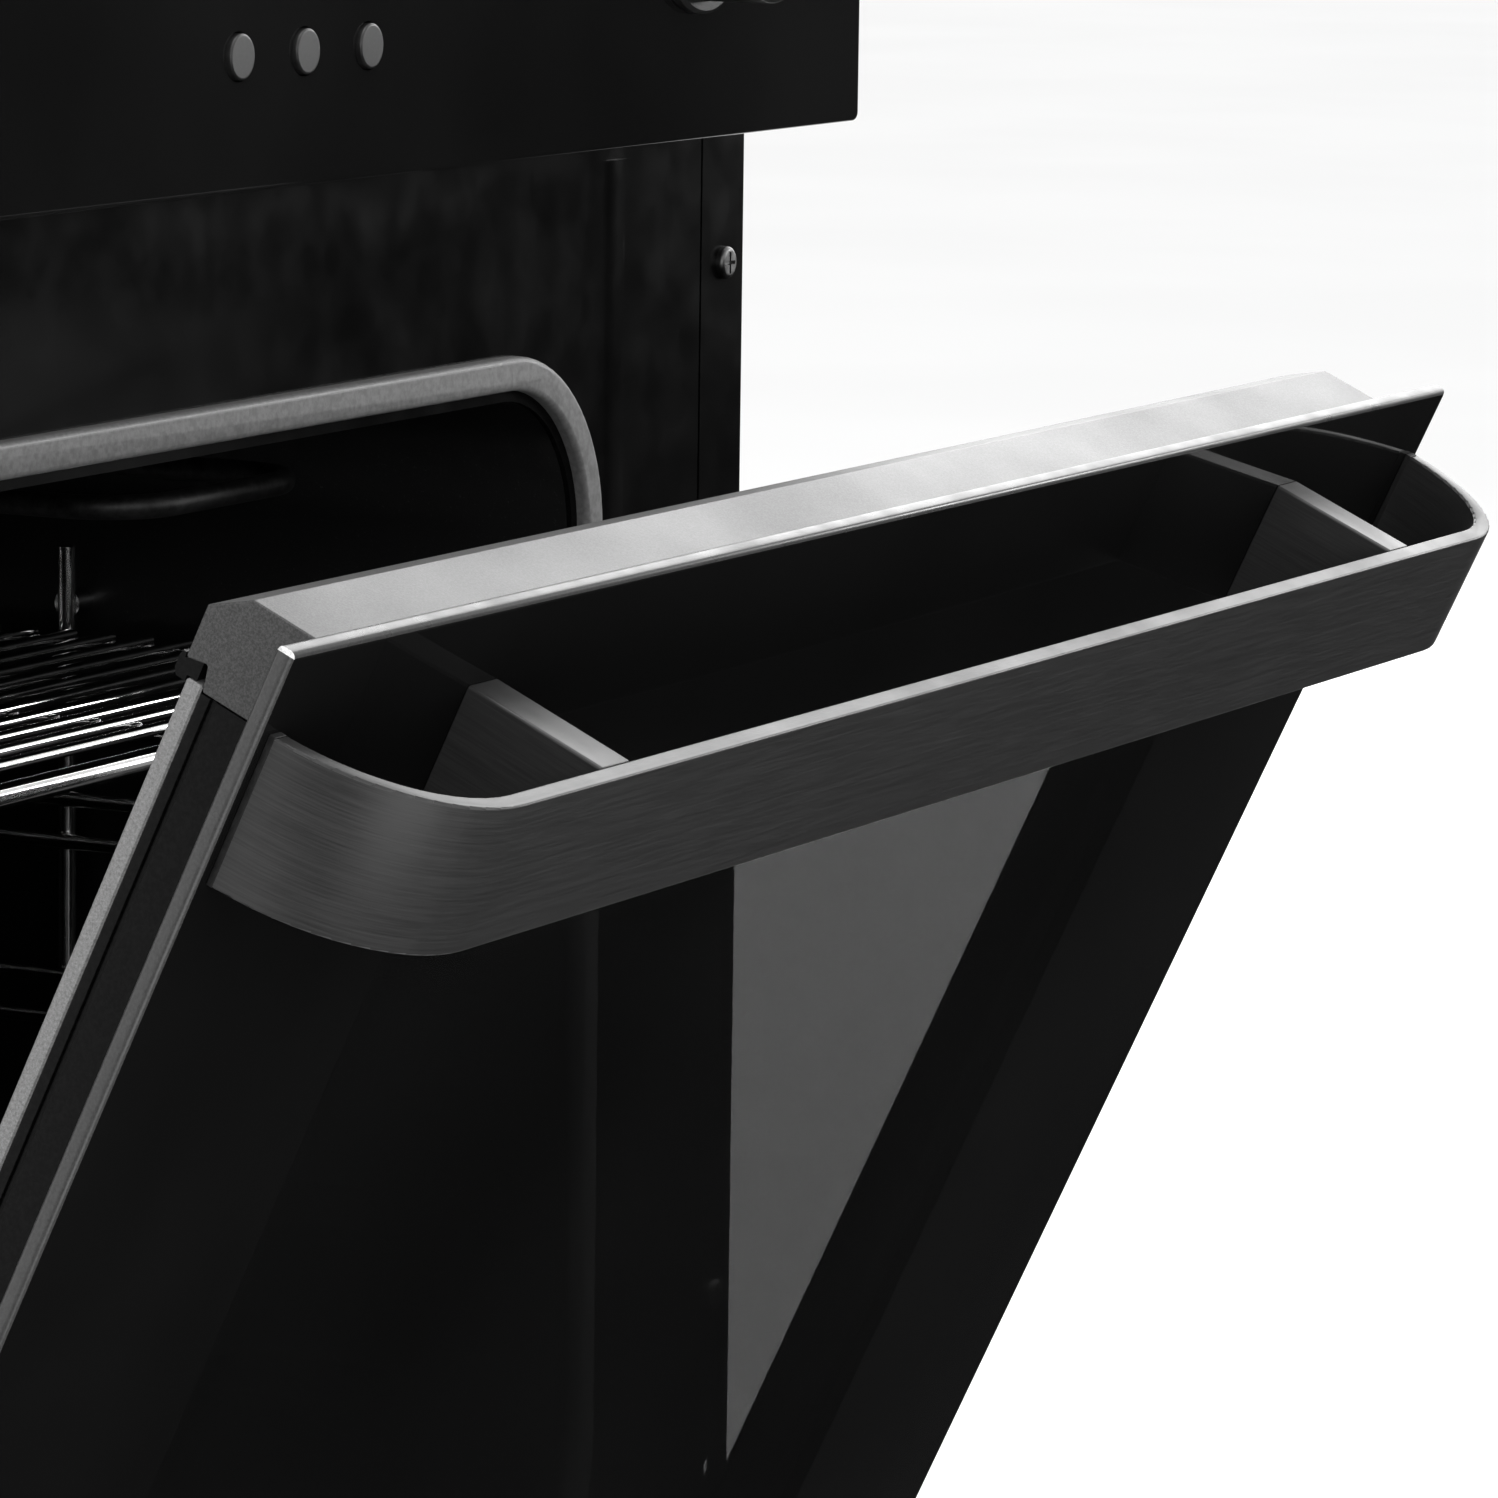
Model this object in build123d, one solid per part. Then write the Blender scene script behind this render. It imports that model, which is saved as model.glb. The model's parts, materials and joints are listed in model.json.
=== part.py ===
"""Built-in electric oven, 60 cm niche size, with a drop-down glass door that rests 25 degrees open.

Millimetres. X runs to the right, Y to the back, Z up. The origin is the centre of the base's underside.
Door pieces are placed by n, the distance out from the hinge axis, and h, the height above it, as on a
shut door, and the whole door is then turned about the hinge axis to its rest angle.
"""
from build123d import *
import math
import os

# driving dimensions
WIDTH = 595.0  # over the front frame, the door glass and the control panel
HEIGHT = 595.0
BODY_HALF = 279.0  # outside of the side panels
BODY_BACK = 262.0
BODY_TOP = 589.0
FRAME_FACE = -280.0  # front face of the front frame
SHEET = 1.0
PLATE = 1.5

# door and hinge
PIVOT_Y = -281.5
PIVOT_Z = 50.0
REST_ANGLE = 25.0
GLASS = 4.0
GLASS_FRONT = 34.0  # outer face of the outer glass, out from the hinge axis
GLASS_TOP = 422.0
GLASS_BOTTOM = -30.0
DOOR_HALF = 272.0  # cap, columns and inner glass
INNER_GLASS_FACE = 6.5  # front face of the inner glass
INNER_GLASS_TOP = GLASS_TOP - 26.5
INNER_GLASS_BOTTOM = 14.0
COLUMN_INSIDE = 217.0
COLUMN_WALL = 2.0
COLUMN_TOP = GLASS_TOP - 27.8
COLUMN_BOTTOM = 15.0
COLUMN_BACK = 6.5
COLUMN_FRONT = GLASS_FRONT - GLASS

# handle
STRIP_LOW = GLASS_TOP - 52.5
STRIP_TALL = 34.0
STRIP_THICK = 4.4
STRIP_FRONT = GLASS_FRONT + 38.6
BEND_RADIUS = 40.0
STRAIGHT_HALF = 253.5
PAD_THICK = 1.5
BRACKET_X = 209.0
BRACKET_WIDE = 12.3

# hinge
HINGE_X = 255.0
PIN_RADIUS = 3.0
PIN_PLAY = 0.05
EYE_RADIUS = 8.0
CHEEK_RADIUS = 9.0

# cavity
MOUTH_WIDE = 400.0
MOUTH_LOW = 88.0
MOUTH_TALL = 326.0
MOUTH_RADIUS = 38.0
SEAL_GAP = 12.0  # from the mouth's edge to the outer edge of the seal
SEAL_WIDE = 9.0
SEAL_FRONT = -283.5
CAVITY_BACK = 125.0
LINER = 1.2
FAN_Z = 240.0
LAMP_X = -155.0
LAMP_Z = 358.0
GRILL_Z = 390.0
TUBE = 3.25  # radius of a heating element

# shelf guides and shelf
RAIL_X = 189.0
RAIL_RADIUS = 2.2
LEVELS = [130.0, 180.0, 230.0, 280.0, 330.0]
SHELF_RISE = 4.9  # shelf frame above the guide rail that carries it
SHELF_FRONT = -255.0
SHELF_BACK = 76.0
SHELF_HALF = 186.5
WIRE_PITCH = 12.4

# pressed beads beside the cavity mouth
BEAD_X = 222.0
BEAD_RISE = 1.3
BEAD_RADIUS = 16.9
BEAD_LOW = 76.0
BEAD_HIGH = 474.0

# control panel
PANEL_LOW = 482.0
PANEL_FACE = PIVOT_Y - GLASS_FRONT
KNOB_X = 200.0
KNOB_Z = 538.0
SPINDLE = 3.0
BUTTON_Z = 514.0
BUTTON_STEP = 30.0
BUTTON_RADIUS = 5.5

# fixing holes
FIX_X = 286.0
FIX_LOW = 100.0
FIX_HIGH = 360.0
FIX_RADIUS = 2.6
SCREW_LEVELS = [150.0, 442.0]

MOUTH_Z = MOUTH_LOW + MOUTH_TALL / 2
FRAME_BACK = FRAME_FACE + PLATE
parts = {}


# shapes
def block(x0, x1, y0, y1, z0, z1):
    return Pos((x0 + x1) / 2, (y0 + y1) / 2, (z0 + z1) / 2) * Box(x1 - x0, y1 - y0, z1 - z0)


def door_block(x0, x1, n0, n1, h0, h1):
    return block(x0, x1, PIVOT_Y - n1, PIVOT_Y - n0, PIVOT_Z + h0, PIVOT_Z + h1)


def rod_x(x0, x1, y, z, radius):
    return Pos((x0 + x1) / 2, y, z) * Rot(0, 90, 0) * Cylinder(radius, x1 - x0)


def rod_y(y0, y1, x, z, radius):
    return Pos(x, (y0 + y1) / 2, z) * Rot(90, 0, 0) * Cylinder(radius, y1 - y0)


def rod_z(z0, z1, x, y, radius):
    return Pos(x, y, (z0 + z1) / 2) * Cylinder(radius, z1 - z0)


def door_rod_x(x0, x1, n, h, radius):
    return rod_x(x0, x1, PIVOT_Y - n, PIVOT_Z + h, radius)


def door_rod_n(n0, n1, x, h, radius):
    return rod_y(PIVOT_Y - n1, PIVOT_Y - n0, x, PIVOT_Z + h, radius)


def slab(wide, tall, radius, y0, y1, z=MOUTH_Z):
    """A rounded rectangle standing in XZ, from y0 back to y1, centred at x = 0 and height z."""
    return Pos(0, y1, z) * extrude(Plane.XZ * RectangleRounded(wide, tall, radius), amount=y1 - y0)


def prism(points, x0, x1, rounding=0.0):
    """A section in (y, z) run along X."""
    face = make_face(Polyline(*points, close=True))
    if rounding:
        face = fillet(face.vertices(), rounding)
    return Pos(x0, 0, 0) * extrude(Plane.YZ * face, amount=x1 - x0)


def door_prism(points, x0, x1, rounding=0.0):
    """A section in (depth behind the glass's face, drop below the glass's top) run along X."""
    placed = [(PIVOT_Y - GLASS_FRONT + t, PIVOT_Z + GLASS_TOP - drop) for t, drop in points]
    return prism(placed, x0, x1, rounding)


def flip(shape):
    return mirror(shape, about=Plane.YZ)


def both(shape):
    return Compound(children=[shape, flip(shape)])


def on_door(shape):
    return shape.rotate(Axis((0, PIVOT_Y, PIVOT_Z), (1, 0, 0)), REST_ANGLE)


def ring_of(count, radius, start=0.0):
    """Offsets of points evenly spaced on a circle."""
    angles = [start + 2 * math.pi * i / count for i in range(count)]
    return [(radius * math.cos(a), radius * math.sin(a)) for a in angles]


# door
def make_outer_glass():
    half = WIDTH / 2
    glass = door_block(-half, half, GLASS_FRONT - GLASS, GLASS_FRONT, GLASS_BOTTOM, GLASS_TOP)
    glass = fillet(glass.edges().filter_by(Axis.Y), 2.5)
    faces = glass.faces().sort_by(Axis.Y)
    glass = fillet(faces[0].edges() + faces[-1].edges(), 1.3)
    height = STRIP_LOW + STRIP_TALL / 2
    for x in (-BRACKET_X, BRACKET_X):
        glass -= door_rod_n(GLASS_FRONT - GLASS - 1, GLASS_FRONT + 1, x, height, 3.6)
    parts["door_outer_glass"] = glass


def make_inner_glasses():
    back = INNER_GLASS_FACE - GLASS
    inner = door_block(-DOOR_HALF, DOOR_HALF, back, INNER_GLASS_FACE, INNER_GLASS_BOTTOM, INNER_GLASS_TOP)
    parts["door_inner_glass"] = chamfer(inner.edges(), 0.4)
    edge = COLUMN_INSIDE - 0.5
    parts["door_middle_glass"] = door_block(-edge, edge, 15.5, 19.5, 17.0, 399.0)


def make_top_cap():
    section = [(4, 5), (24.5, 5), (33.5, 11), (33.5, 23), (28.4, 22), (27.2, 27.6), (4, 27.6)]
    cap = door_prism(section, -DOOR_HALF, DOOR_HALF, 0.6)
    ends = cap.faces().filter_by(Axis.X)
    cap = chamfer(ends.edges(), 0.35)
    room = [(6.5, 8), (24, 8), (24.8, 9), (24.8, 28), (6.5, 28)]
    parts["door_top_cap"] = cap - door_prism(room, 3 - DOOR_HALF, DOOR_HALF - 3)
    hook = [(29.4, 22.2), (32.7, 22.84), (33.75, 23.4), (33.9, 22.1), (34.6, 22.1), (35.1, 23.0)]
    hook += [(35.1, 26.1), (34.2, 27.5), (31.9, 27.6), (31.9, 26.2), (29.4, 26.2)]
    parts["glass_clips"] = both(door_prism(hook, DOOR_HALF - 30, DOOR_HALF - 0.5, 0.15))


def make_columns():
    column = door_block(COLUMN_INSIDE, DOOR_HALF, COLUMN_BACK, COLUMN_FRONT, COLUMN_BOTTOM, COLUMN_TOP)
    column = fillet(column.edges().filter_by(Axis.Z), 0.6)
    column -= door_block(
        COLUMN_INSIDE + COLUMN_WALL,
        DOOR_HALF - COLUMN_WALL,
        COLUMN_BACK + COLUMN_WALL,
        COLUMN_FRONT - COLUMN_WALL,
        COLUMN_BOTTOM - 1,
        COLUMN_TOP + 1,
    )
    column -= door_block(DOOR_HALF - 0.8, DOOR_HALF + 1, 9.3, 10.5, COLUMN_BOTTOM - 1, COLUMN_TOP + 1)
    parts["door_column_right"] = column
    parts["door_column_left"] = flip(column)
    edge = COLUMN_INSIDE - 0.2
    rail = door_block(-edge, edge, COLUMN_BACK + 0.2, COLUMN_FRONT - 0.2, 15, 33)
    rail -= door_block(-edge - 1, edge + 1, COLUMN_BACK + 2.2, COLUMN_FRONT - 2.2, 17, 34)
    parts["door_bottom_rail"] = rail


def make_handle():
    bend_y = PIVOT_Y - (STRIP_FRONT - BEND_RADIUS)
    end_y = PIVOT_Y - (GLASS_FRONT + PAD_THICK)
    section = Pos(0, PIVOT_Y - STRIP_FRONT + STRIP_THICK / 2) * Rectangle(2 * STRAIGHT_HALF, STRIP_THICK)
    bend = Circle(BEND_RADIUS) - Circle(BEND_RADIUS - STRIP_THICK)
    quarter_tall = BEND_RADIUS + end_y - bend_y
    quarter = Pos(BEND_RADIUS / 2, quarter_tall / 2 - BEND_RADIUS) * Rectangle(BEND_RADIUS, quarter_tall)
    end = Pos(STRAIGHT_HALF, bend_y) * (bend & quarter)
    section += end
    section += mirror(end, about=Plane.YZ)
    strip = extrude(section, amount=STRIP_TALL)
    strip = Pos(0, 0, PIVOT_Z + STRIP_LOW) * strip
    parts["handle_strip"] = fillet(strip.faces().filter_by(Axis.Z).edges(), 0.6)

    reach = math.sqrt(BEND_RADIUS**2 - (end_y - bend_y) ** 2)
    outside = STRAIGHT_HALF + reach
    pad = door_block(
        outside - STRIP_THICK, outside, GLASS_FRONT, GLASS_FRONT + PAD_THICK, STRIP_LOW, STRIP_LOW + STRIP_TALL
    )
    parts["handle_end_pads"] = both(pad)

    half = BRACKET_WIDE / 2
    inner = STRIP_FRONT - STRIP_THICK
    middle = STRIP_LOW + STRIP_TALL / 2
    bracket = door_block(
        BRACKET_X - half, BRACKET_X + half, GLASS_FRONT, inner, STRIP_LOW, STRIP_LOW + STRIP_TALL
    )
    bracket = fillet(bracket.edges().filter_by(Axis.Y), 0.8)
    bracket -= door_rod_n(GLASS_FRONT - 1, GLASS_FRONT + 20, BRACKET_X, middle, PIN_RADIUS)
    parts["handle_bracket_right"] = bracket
    parts["handle_bracket_left"] = flip(bracket)
    screw = door_rod_n(COLUMN_FRONT - 3.5, COLUMN_FRONT, BRACKET_X, middle, 5.5)
    screw += door_rod_n(COLUMN_FRONT, GLASS_FRONT + 18, BRACKET_X, middle, 2.9)
    screw -= door_rod_n(COLUMN_FRONT - 4, COLUMN_FRONT - 1.5, BRACKET_X, middle, 2.2)
    parts["handle_screws"] = both(screw)


def make_hinges():
    tall = 95.0
    web = COLUMN_FRONT - COLUMN_WALL
    outer = HINGE_X + 10
    housing = door_rod_x(outer - 20, outer, 0, 0, CHEEK_RADIUS)
    housing += door_block(outer - 20, outer, 0, web, -CHEEK_RADIUS, 12)
    housing += door_block(outer - 20, outer, 9, web, 12, tall)
    housing -= door_block(outer - 18, outer - 2, -20, web - 2, -20, tall - 2)
    housing -= door_rod_x(outer - 30, outer + 10, 0, 0, PIN_RADIUS)
    housing -= door_rod_z_hole(18, tall)
    parts["hinge_housing_right"] = housing
    parts["hinge_housing_left"] = flip(housing)
    pin = door_rod_x(outer - 21, outer + 1, 0, 0, PIN_RADIUS)
    pin += door_rod_x(outer, outer + 1.5, 0, 0, PIN_RADIUS + 2)
    parts["hinge_pins"] = both(pin)

    spring_low = tall + 0.4
    spring_high = 170.0
    coil = 5.5
    path = Helix(6.2, spring_high - spring_low - 2, coil)
    start = path @ 0
    ring = Plane(origin=start, z_dir=path % 0) * Circle(0.8)
    spring = sweep(ring, path=path, is_frenet=True)
    spring = Pos(HINGE_X, PIVOT_Y - 18, PIVOT_Z + spring_low + 1) * spring
    parts["hinge_springs"] = both(spring)
    outline = [(0, 20), (2, 20), (2, spring_high), (7.5, spring_high), (7.5, spring_high + 2)]
    outline += [(2, spring_high + 2), (2, spring_high + 8), (0, spring_high + 8)]
    rod = revolve(Plane.XZ * make_face(Polyline(*outline, close=True)), Axis.Z)
    parts["spring_rods"] = both(Pos(HINGE_X, PIVOT_Y - 18, PIVOT_Z) * rod)


def door_rod_z_hole(n, h):
    return rod_z(PIVOT_Z + h - 4, PIVOT_Z + h + 2, HINGE_X, PIVOT_Y - n, 2.4)


def make_hinge_arms():
    back = -207.0
    arm = rod_x(HINGE_X - 2, HINGE_X + 2, PIVOT_Y, PIVOT_Z, EYE_RADIUS)
    arm += block(HINGE_X - 2, HINGE_X + 2, PIVOT_Y, back, PIVOT_Z - 6, PIVOT_Z + 6)
    arm -= rod_x(HINGE_X - 5, HINGE_X + 5, PIVOT_Y, PIVOT_Z, PIN_RADIUS + PIN_PLAY)
    arm -= block(HINGE_X - 5, HINGE_X + 5, -240, -232, PIVOT_Z - 8, PIVOT_Z - 1)
    parts["hinge_arms"] = both(arm)
    receiver = block(HINGE_X - 5, HINGE_X + 5, -262, -203, 30, 72)
    receiver -= block(HINGE_X - 2.5, HINGE_X + 2.5, -270, -206, 40, 60)
    receiver -= block(HINGE_X - 3.5, HINGE_X + 3.5, -258, -206, 32, 70)
    receiver += rod_x(HINGE_X - 4, HINGE_X + 4, -236, PIVOT_Z - 4.2, 3)
    receiver += block(HINGE_X - 5, BODY_HALF - SHEET, -215, -203, 30, 31.5)
    parts["hinge_receivers"] = both(receiver)


# chassis
def make_front_frame():
    frame = block(-WIDTH / 2, WIDTH / 2, FRAME_FACE, FRAME_BACK, 64, 590)
    frame = fillet(frame.edges().filter_by(Axis.Y), 3)
    for side in (-1, 1):
        bead = rod_z(BEAD_LOW, BEAD_HIGH, BEAD_X, FRAME_FACE - BEAD_RISE + BEAD_RADIUS, BEAD_RADIUS)
        bead &= block(BEAD_X - 7, BEAD_X + 7, FRAME_FACE - 2, FRAME_FACE, BEAD_LOW, BEAD_HIGH)
        frame += bead if side > 0 else flip(bead)
        frame -= block(side * 272.5 - 0.5, side * 272.5 + 0.5, FRAME_FACE - 1, FRAME_FACE + 0.6, 63, 480)
        for z in (FIX_LOW, FIX_HIGH):
            frame -= rod_y(FRAME_FACE - 1, FRAME_BACK + 1, side * FIX_X, z, FIX_RADIUS)
        for z in SCREW_LEVELS:
            frame -= rod_y(FRAME_FACE - 1, FRAME_BACK + 1, side * FIX_X, z, 2.2)
    frame -= slab(MOUTH_WIDE, MOUTH_TALL, MOUTH_RADIUS, FRAME_FACE - 5, FRAME_BACK + 1)
    frame -= block(-250, 250, FRAME_FACE - 1, FRAME_BACK + 1, 497, 578)
    parts["front_frame"] = frame
    screws = []
    for side in (-1, 1):
        for z in SCREW_LEVELS:
            head = fillet(rod_y(FRAME_FACE - 2.2, FRAME_FACE, side * FIX_X, z, 4.5).edges().sort_by(Axis.Y)[0], 1.2)
            head += rod_y(FRAME_FACE, FRAME_FACE + 9, side * FIX_X, z, 2.1)
            head -= block(side * FIX_X - 3, side * FIX_X + 3, FRAME_FACE - 3, FRAME_FACE - 1.1, z - 0.5, z + 0.5)
            head -= block(side * FIX_X - 0.5, side * FIX_X + 0.5, FRAME_FACE - 3, FRAME_FACE - 1.1, z - 3, z + 3)
            screws.append(head)
    parts["frame_screws"] = Compound(children=screws)


def make_shell():
    inside = BODY_HALF - SHEET
    outline = [(-245, SHEET), (BODY_BACK, SHEET), (BODY_BACK, BODY_TOP - SHEET)]
    outline += [(FRAME_BACK + SHEET, BODY_TOP - SHEET), (FRAME_BACK + SHEET, 64), (-245, 40)]
    panel = prism(outline, inside, BODY_HALF)
    flange = block(inside, FIX_X + 8, FRAME_BACK, FRAME_BACK + SHEET, 64, BODY_TOP - SHEET)
    for z in (FIX_LOW, FIX_HIGH):
        flange -= rod_y(FRAME_BACK - 1, FRAME_BACK + 5, FIX_X, z, 4)
    for z in SCREW_LEVELS:
        flange -= rod_y(FRAME_BACK - 1, FRAME_BACK + 5, FIX_X, z, 2.1)
    panel += flange
    for row in range(6):
        panel -= block(inside - 1, BODY_HALF + 1, 150, 220, 470 + 14 * row, 475 + 14 * row)
    parts["side_panel_right"] = panel
    parts["side_panel_left"] = flip(panel)

    pan = block(-BODY_HALF, BODY_HALF, -245, BODY_BACK, 0, SHEET)
    pan += block(-inside, inside, -245, -244, SHEET, 30)
    pan += block(-inside, inside, BODY_BACK - 2 * SHEET, BODY_BACK - SHEET, SHEET, 16)
    for x in (-150, 0, 150):
        pan -= block(x - 45, x + 45, 120, 128, -1, 2)
        pan -= block(x - 45, x + 45, 150, 158, -1, 2)
    parts["base_pan"] = pan

    back = block(-inside, inside, BODY_BACK - SHEET, BODY_BACK, SHEET, BODY_TOP - SHEET)
    for row in range(7):
        for x in (-180, -60, 60):
            back -= block(x - 40, x + 40, BODY_BACK - 2, BODY_BACK + 1, 460 + 14 * row, 465 + 14 * row)
    parts["back_panel"] = back
    cover = block(-BODY_HALF, BODY_HALF, FRAME_BACK, BODY_BACK, BODY_TOP - SHEET, BODY_TOP)
    for row in range(5):
        for x in (-160, 0, 160):
            cover -= block(x - 50, x + 50, 170 + 15 * row, 175 + 15 * row, BODY_TOP - 2, BODY_TOP + 1)
    parts["top_cover"] = cover


def make_cavity():
    seal_wide = MOUTH_WIDE + 2 * SEAL_GAP
    seal_tall = MOUTH_TALL + 2 * SEAL_GAP
    seal_radius = MOUTH_RADIUS + SEAL_GAP
    liner = slab(
        MOUTH_WIDE + 2 * LINER, MOUTH_TALL + 2 * LINER, MOUTH_RADIUS + LINER, FRAME_BACK, CAVITY_BACK + LINER
    )
    liner += slab(seal_wide, seal_tall, seal_radius, FRAME_BACK, FRAME_BACK + LINER)
    liner -= slab(MOUTH_WIDE, MOUTH_TALL, MOUTH_RADIUS, FRAME_BACK - 1, CAVITY_BACK)
    for x, z, radius in wall_holes():
        liner -= rod_y(CAVITY_BACK - 2, CAVITY_BACK + 5, x, z, radius)
    parts["cavity_liner"] = liner

    gasket = slab(seal_wide, seal_tall, seal_radius, SEAL_FRONT, FRAME_FACE)
    narrow = 2 * SEAL_WIDE
    gasket -= slab(
        seal_wide - narrow, seal_tall - narrow, seal_radius - SEAL_WIDE, SEAL_FRONT - 1, FRAME_FACE + 1
    )
    gasket = fillet(gasket.faces().sort_by(Axis.Y)[0].edges(), 1.6)
    parts["cavity_gasket"] = gasket

    wool = block(-230, 230, FRAME_BACK + 6, CAVITY_BACK + 27, 66, 444)
    wool -= slab(
        MOUTH_WIDE + 4, MOUTH_TALL + 4, MOUTH_RADIUS + 2, FRAME_BACK, CAVITY_BACK + LINER + 0.6
    )
    wool -= block(-172, 172, -190, 100, 76, 100)
    for x, z, radius in wall_holes():
        wool -= rod_y(CAVITY_BACK - 2, CAVITY_BACK + 40, x, z, radius + 4)
    wool -= rod_y(CAVITY_BACK, CAVITY_BACK + 40, 0, FAN_Z, 50)
    wool -= rod_y(CAVITY_BACK, CAVITY_BACK + 40, LAMP_X, LAMP_Z, 30)
    parts["insulation"] = wool


def wall_holes():
    """Holes through the cavity's back wall: x, z and radius."""
    return [
        (0, FAN_Z, 6),
        (-30, GRILL_Z, 4),
        (30, GRILL_Z, 4),
        (-12, FAN_Z + 92, 4),
        (12, FAN_Z + 92, 4),
        (LAMP_X, LAMP_Z, 21),
        (148, 368, 3),
    ]


def make_heaters():
    half = [(-30, 145), (-30, 70), (-165, 70), (-165, -220), (-75, -220), (-75, 10)]
    whole = half + [(-x, y) for x, y in reversed(half)]
    route = FilletPolyline(*[(x, y, GRILL_Z) for x, y in whole], radius=20)
    parts["grill_element"] = tube_along(route)
    low = [(-140, 95), (-140, -170), (-50, -170), (-50, 60), (50, 60), (50, -170), (140, -170), (140, 95)]
    parts["lower_element"] = tube_along(FilletPolyline(*[(x, y, 81.4) for x, y in low], radius=25))
    ring = Pos(0, 107, FAN_Z) * Rot(90, 0, 0) * Torus(92, TUBE)
    for x in (-12, 12):
        ring += rod_y(107, 145, x, FAN_Z + 91.6, TUBE)
    parts["ring_element"] = ring
    x, z, radius = wall_holes()[-1]
    probe = rod_y(76, 150, x, z, 2.5) + rod_y(CAVITY_BACK - 3, CAVITY_BACK, x, z, 2 * radius)
    parts["temperature_probe"] = probe


def tube_along(route):
    ring = Plane(origin=route @ 0, z_dir=route % 0) * Circle(TUBE)
    return sweep(ring, path=route)


def make_fan():
    fan = rod_y(98, 118, 0, FAN_Z, 15)
    fan += rod_y(117, 118.2, 0, FAN_Z, 72)
    blade = block(13, 70, 99, 118, FAN_Z - 0.6, FAN_Z + 0.6)
    for i in range(10):
        fan += blade.rotate(Axis((13, 0, FAN_Z), (0, 1, 0)), 20).rotate(Axis((0, 0, FAN_Z), (0, 1, 0)), 36 * i)
    fan += rod_y(100, 160, 0, FAN_Z, 4)
    parts["convection_fan"] = fan
    motor = rod_y(CAVITY_BACK + LINER + 0.2, CAVITY_BACK + 4, 0, FAN_Z, 47)
    motor += rod_y(CAVITY_BACK + 4, CAVITY_BACK + 30, 0, FAN_Z, 12)
    motor += block(-32, 32, CAVITY_BACK + 14, CAVITY_BACK + 40, FAN_Z - 26, FAN_Z + 34)
    motor += rod_y(CAVITY_BACK + 40, CAVITY_BACK + 50, 0, FAN_Z, 20)
    motor -= rod_y(CAVITY_BACK - 1, 161, 0, FAN_Z, 4 + PIN_PLAY)
    parts["fan_motor"] = motor

    low, high = FAN_Z - 116, FAN_Z + 116
    cover = block(-122, 122, 84, CAVITY_BACK, low, high)
    cover = fillet(cover.edges().filter_by(Axis.Y), 14)
    cover = chamfer(cover.faces().sort_by(Axis.Y)[0].edges(), 6)
    room = Pos(0, CAVITY_BACK + 1, FAN_Z) * extrude(
        Plane.XZ * RectangleRounded(241.6, 229.6, 12.8), amount=CAVITY_BACK - 89
    )
    room += block(-115, 115, 85.2, 100, low + 7, high - 7)
    cover -= room
    for count, radius in ((1, 0), (6, 14), (12, 28), (18, 42)):
        for dx, dz in ring_of(count, radius):
            cover -= rod_y(80, 90, dx, FAN_Z + dz, 4.2)
    for side in (-1, 1):
        for z in range(-3, 4):
            cover -= block(side * 122 - 8, side * 122 + 8, 96, 116, FAN_Z + 26 * z - 7, FAN_Z + 26 * z + 7)
    parts["fan_cover"] = cover


def make_lamp():
    shade = rod_y(CAVITY_BACK - 20, CAVITY_BACK, LAMP_X, LAMP_Z, 24)
    shade = fillet(shade.edges().sort_by(Axis.Y)[0], 12)
    room = rod_y(CAVITY_BACK - 17, CAVITY_BACK + 1, LAMP_X, LAMP_Z, 20.5)
    room = fillet(room.edges().sort_by(Axis.Y)[0], 9)
    parts["lamp_lens"] = shade - room
    cup = rod_y(CAVITY_BACK + LINER + 0.2, CAVITY_BACK + 40, LAMP_X, LAMP_Z, 27)
    cup -= rod_y(CAVITY_BACK, CAVITY_BACK + 37, LAMP_X, LAMP_Z, 23)
    cup += rod_y(CAVITY_BACK + 27, CAVITY_BACK + 37, LAMP_X, LAMP_Z, 10)
    parts["lamp_housing"] = cup
    bulb = Pos(LAMP_X, CAVITY_BACK + 4, LAMP_Z) * Sphere(11)
    bulb += rod_y(CAVITY_BACK + 4, CAVITY_BACK + 27, LAMP_X, LAMP_Z, 6.5)
    parts["lamp_bulb"] = bulb


def make_shelf_ladders():
    ladder = rod_z(112, 362, RAIL_X + 4, -125, 2.5) + rod_z(112, 362, RAIL_X + 4, 62, 2.5)
    for z in LEVELS:
        rails = [z] if z == LEVELS[-1] else [z, z + 12]
        for rail_z in rails:
            ladder += rod_y(-225, 110, RAIL_X, rail_z, RAIL_RADIUS)
        if len(rails) == 2:
            ladder += rod_z(z, z + 12, RAIL_X, 110, RAIL_RADIUS)
    for y in (-125, 62):
        for z in (140, 346):
            ladder += rod_x(RAIL_X + 4, MOUTH_WIDE / 2, y, z, 4)
    parts["shelf_ladders"] = both(ladder)


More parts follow.
